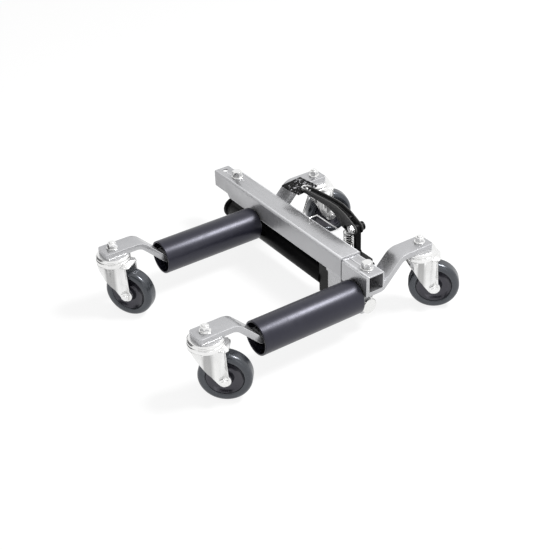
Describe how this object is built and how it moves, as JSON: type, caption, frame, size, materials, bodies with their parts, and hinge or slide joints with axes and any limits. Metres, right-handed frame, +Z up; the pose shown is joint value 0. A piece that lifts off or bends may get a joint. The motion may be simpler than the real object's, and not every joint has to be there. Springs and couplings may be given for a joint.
{
  "type": "vehicle positioning jack",
  "caption": "Rolling wheel jack: roller arms on a telescoping square beam, swivel casters and a foot-pumped ram that closes the arms on a tyre.",
  "frame": {"origin": "on the floor under the middle of the closed machine's bounding box", "axes": "+X from the fixed arm towards the sliding arm, -Y towards the roller side, where the tyre enters, +Z up"},
  "size_m": [0.5686, 0.6007, 0.186],
  "materials": {
    "grey_paint": "satin light grey paint",
    "black_paint": "satin black paint",
    "grit_black": "rough black anti-slip grit",
    "roller_black": "gloss black coating",
    "zinc": "bright zinc plate",
    "bright_steel": "bright ground steel",
    "bush_nylon": "moulded nylon",
    "tyre_rubber": "charcoal rubber",
    "core_black": "moulded black core"
  },
  "bodies": {
    "fixed_side": {"outer_sleeve": "grey_paint", "front_gusset": "grey_paint", "left_saddle": "grey_paint", "left_front_arm": "grey_paint", "left_rear_arm": "grey_paint", "left_roller_shaft": "bright_steel", "ram_barrel": "black_paint", "ram_cap": "black_paint", "pump_block": "black_paint", "pump_tower": "black_paint", "pedal_pivot": "black_paint", "sleeve_bolt": "zinc", "keeper_wire": "zinc", "plunger_spring": "bright_steel", "kingpin_front_left": "zinc", "race_front_left": "zinc", "kingpin_rear_left": "zinc", "race_rear_left": "zinc"},
    "sliding_side": {"inner_tube": "grey_paint", "right_bracket": "grey_paint", "right_saddle": "grey_paint", "right_front_arm": "grey_paint", "right_rear_arm": "grey_paint", "right_roller_shaft": "bright_steel", "rod_lug": "grey_paint", "ram_rod": "bright_steel", "rod_nut": "bright_steel", "tube_bolt": "zinc", "kingpin_front_right": "zinc", "race_front_right": "zinc", "kingpin_rear_right": "zinc", "race_rear_right": "zinc"},
    "roller_left_group": {"left_roller": "roller_black", "left_roller_bearings": "bush_nylon"},
    "roller_right_group": {"right_roller": "roller_black", "right_roller_bearings": "bush_nylon"},
    "pedal": {"pedal_lever": "black_paint", "foot_pad": "grit_black", "pedal_stop": "zinc"},
    "plunger": {"pump_plunger": "bright_steel"},
    "swivel_front_left": {"fork_front_left": "zinc", "axle_front_left": "zinc"},
    "wheel_front_left": {"tyre_front_left": "tyre_rubber", "core_front_left": "core_black"},
    "swivel_front_right": {"fork_front_right": "zinc", "axle_front_right": "zinc"},
    "wheel_front_right": {"tyre_front_right": "tyre_rubber", "core_front_right": "core_black"},
    "swivel_rear_right": {"fork_rear_right": "zinc", "axle_rear_right": "zinc"},
    "wheel_rear_right": {"tyre_rear_right": "tyre_rubber", "core_rear_right": "core_black"},
    "swivel_rear_left": {"fork_rear_left": "zinc", "axle_rear_left": "zinc"},
    "wheel_rear_left": {"tyre_rear_left": "tyre_rubber", "core_rear_left": "core_black"}
  },
  "joints": [
    {"name": "arm_slide", "type": "slide", "parent": "fixed_side", "child": "sliding_side", "axis": [1, 0, 0], "range_m": [0, 0.22]},
    {"name": "left_roller_spin", "type": "hinge", "parent": "fixed_side", "child": "roller_left_group", "pos_m": [-0.1225, -0.05115, 0.0812], "axis": [0, 1, 0], "continuous": true},
    {"name": "right_roller_spin", "type": "hinge", "parent": "sliding_side", "child": "roller_right_group", "pos_m": [0.2231, -0.05115, 0.0812], "axis": [0, 1, 0], "continuous": true},
    {"name": "pedal_press", "type": "hinge", "parent": "fixed_side", "child": "pedal", "pos_m": [0.1263, 0.14085, 0.157], "axis": [0, -1, 0], "range_deg": [0, 13], "stiffness_Nm_per_rad": 3, "springref_deg": -20.05},
    {"name": "plunger_stroke", "type": "slide", "parent": "fixed_side", "child": "plunger", "axis": [0, 0, -1], "range_m": [0, 0.0055], "deforming": ["plunger_spring"]},
    {"name": "swivel_front_left_turn", "type": "hinge", "parent": "fixed_side", "child": "swivel_front_left", "pos_m": [-0.1225, -0.26585, 0.115], "axis": [0, 0, 1], "continuous": true},
    {"name": "wheel_front_left_spin", "type": "hinge", "parent": "swivel_front_left", "child": "wheel_front_left", "pos_m": [-0.09677, -0.24856, 0.05], "axis": [-0.5577, 0.83, 0], "continuous": true},
    {"name": "swivel_front_right_turn", "type": "hinge", "parent": "sliding_side", "child": "swivel_front_right", "pos_m": [0.2231, -0.26585, 0.115], "axis": [0, 0, 1], "continuous": true},
    {"name": "wheel_front_right_spin", "type": "hinge", "parent": "swivel_front_right", "child": "wheel_front_right", "pos_m": [0.24286, -0.24197, 0.05], "axis": [-0.7705, 0.6374, 0], "continuous": true},
    {"name": "swivel_rear_right_turn", "type": "hinge", "parent": "sliding_side", "child": "swivel_rear_right", "pos_m": [0.2231, 0.22095, 0.115], "axis": [0, 0, 1], "continuous": true},
    {"name": "wheel_rear_right_spin", "type": "hinge", "parent": "swivel_rear_right", "child": "wheel_rear_right", "pos_m": [0.24339, 0.24438, 0.05], "axis": [-0.7559, 0.6547, 0], "continuous": true},
    {"name": "swivel_rear_left_turn", "type": "hinge", "parent": "fixed_side", "child": "swivel_rear_left", "pos_m": [-0.1225, 0.22095, 0.115], "axis": [0, 0, 1], "continuous": true},
    {"name": "wheel_rear_left_spin", "type": "hinge", "parent": "swivel_rear_left", "child": "wheel_rear_left", "pos_m": [-0.11267, 0.25034, 0.05], "axis": [-0.9483, 0.3173, 0], "continuous": true}
  ],
  "couplings": [
    {"joint": "plunger_stroke", "follows": "pedal_press", "m_per_rad": 0.022}
  ]
}
